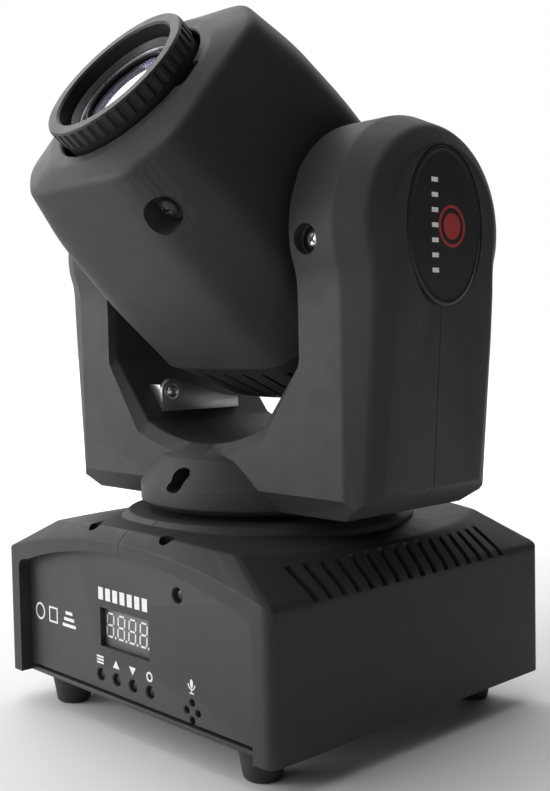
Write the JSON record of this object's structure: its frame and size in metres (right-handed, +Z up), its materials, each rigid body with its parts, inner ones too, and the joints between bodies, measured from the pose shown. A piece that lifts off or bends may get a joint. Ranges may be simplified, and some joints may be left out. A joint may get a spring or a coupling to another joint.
{
  "type": "moving head light",
  "caption": "Compact moving head stage light: base with menu panel, panning U-shaped yoke, and tilting lamp head with a knurled focus ring and a lens.",
  "frame": {"origin": "floor level, middle of the whole light's footprint at rest; the pan axis stands 8 mm behind it", "axes": "+Z up along the pan axis; -Y towards the menu panel and the lens at rest; +X to the light's left as it faces out, along the tilt axis"},
  "size_m": [0.1796, 0.1589, 0.2596],
  "materials": {
    "housing": "fine moulded texture",
    "panel_plastic": "smooth satin sheet",
    "inner_plastic": "smooth black moulding",
    "rubber": "matte moulded rubber",
    "belt_rubber": "toothed belt rubber",
    "steel": "bright zinc plated",
    "dark_steel": "satin black paint",
    "aluminium": "natural machined",
    "badge_gloss": "glossy black",
    "circuit_board": "green solder mask",
    "display": "grey display face",
    "lens_glass": "clear coated glass",
    "brass": "turned bearing metal"
  },
  "bodies": {
    "base": {"base_shell_left": "housing", "base_shell_right": "housing", "base_plate": "dark_steel", "foot_front_left": "rubber", "foot_rear_left": "rubber", "foot_front_right": "rubber", "foot_rear_right": "rubber", "front_panel": "panel_plastic", "rear_panel": "panel_plastic", "display_module": "display", "display_board": "circuit_board", "dmx_input": "inner_plastic", "dmx_output": "inner_plastic", "power_inlet": "inner_plastic", "power_supply": "circuit_board", "main_board": "circuit_board", "pan_frame": "steel", "pan_bearing": "brass", "pan_motor": "dark_steel", "pan_belt": "belt_rubber"},
    "menu_key": {"menu_button": "inner_plastic"},
    "up_key": {"up_button": "inner_plastic"},
    "down_key": {"down_button": "inner_plastic"},
    "enter_key": {"enter_button": "inner_plastic"},
    "pan_drive": {"pan_motor_pulley": "aluminium"},
    "yoke": {"yoke_shell_front": "housing", "yoke_shell_rear": "housing", "yoke_frame": "steel", "pan_shaft": "steel", "arm_badge_left": "badge_gloss", "arm_badge_right": "badge_gloss", "tilt_bearing_left": "brass", "tilt_bearing_right": "brass", "arm_screw_left": "steel", "arm_screw_right": "steel", "pan_pulley": "aluminium", "tilt_motor": "dark_steel", "tilt_belt": "belt_rubber", "gap_bracket": "steel"},
    "tilt_drive": {"tilt_motor_pulley": "aluminium"},
    "head": {"head_shell_lower": "housing", "head_shell_upper": "housing", "head_rear_cap": "housing", "head_chassis": "steel", "tilt_shaft_left": "steel", "tilt_shaft_right": "steel", "tilt_pulley": "aluminium", "heat_sink": "aluminium", "led_module": "brass", "condenser_lens": "lens_glass", "colour_motor": "dark_steel", "gobo_motor": "dark_steel", "lens_barrel": "inner_plastic", "fan_frame": "inner_plastic"},
    "colour_disc": {"colour_wheel": "aluminium"},
    "gobo_disc": {"gobo_wheel": "dark_steel"},
    "lens_carrier": {"lens_cell": "inner_plastic", "front_lens": "lens_glass"},
    "focus_grip": {"focus_ring": "housing"},
    "fan": {"fan_rotor": "inner_plastic"}
  },
  "joints": [
    {"name": "pan", "type": "hinge", "parent": "base", "child": "yoke", "pos_m": [0, 0.008, 0], "axis": [0, 0, 1], "range_deg": [-270, 270]},
    {"name": "pan_drive_turn", "type": "hinge", "parent": "base", "child": "pan_drive", "pos_m": [0.04, 0.028, 0.061], "axis": [0, 0, 1], "range_deg": [-1080, 1080]},
    {"name": "tilt", "type": "hinge", "parent": "yoke", "child": "head", "pos_m": [0, 0.008, 0.178], "axis": [-1, 0, 0], "range_deg": [-39.8, 140.2]},
    {"name": "tilt_drive_turn", "type": "hinge", "parent": "yoke", "child": "tilt_drive", "pos_m": [0.0763, 0.008, 0.122], "axis": [-1, 0, 0], "range_deg": [-119.4, 420.6]},
    {"name": "focus_turn", "type": "hinge", "parent": "head", "child": "focus_grip", "pos_m": [0, 0.008, 0.178], "axis": [0, -0.7683, 0.6401], "range_deg": [-60, 60]},
    {"name": "lens_slide", "type": "slide", "parent": "head", "child": "lens_carrier", "axis": [0, -0.7683, 0.6401], "range_m": [-0.002, 0.002]},
    {"name": "colour_spin", "type": "hinge", "parent": "head", "child": "colour_disc", "pos_m": [0, 0.00349, 0.20258], "axis": [0, -0.7683, 0.6401], "continuous": true},
    {"name": "gobo_spin", "type": "hinge", "parent": "head", "child": "gobo_disc", "pos_m": [0, -0.02099, 0.18133], "axis": [0, -0.7683, 0.6401], "continuous": true},
    {"name": "fan_spin", "type": "hinge", "parent": "head", "child": "fan", "pos_m": [0, 0.04257, 0.14919], "axis": [0, -0.7683, 0.6401], "continuous": true},
    {"name": "menu_press", "type": "slide", "parent": "base", "child": "menu_key", "axis": [0, 1, 0], "range_m": [0, 0.0008], "stiffness_N_per_m": 400},
    {"name": "up_press", "type": "slide", "parent": "base", "child": "up_key", "axis": [0, 1, 0], "range_m": [0, 0.0008], "stiffness_N_per_m": 400},
    {"name": "down_press", "type": "slide", "parent": "base", "child": "down_key", "axis": [0, 1, 0], "range_m": [0, 0.0008], "stiffness_N_per_m": 400},
    {"name": "enter_press", "type": "slide", "parent": "base", "child": "enter_key", "axis": [0, 1, 0], "range_m": [0, 0.0008], "stiffness_N_per_m": 400}
  ],
  "couplings": [
    {"joint": "pan_drive_turn", "follows": "pan", "ratio": 4},
    {"joint": "tilt_drive_turn", "follows": "tilt", "ratio": 3},
    {"joint": "lens_slide", "follows": "focus_turn", "m_per_rad": 0.0018}
  ]
}
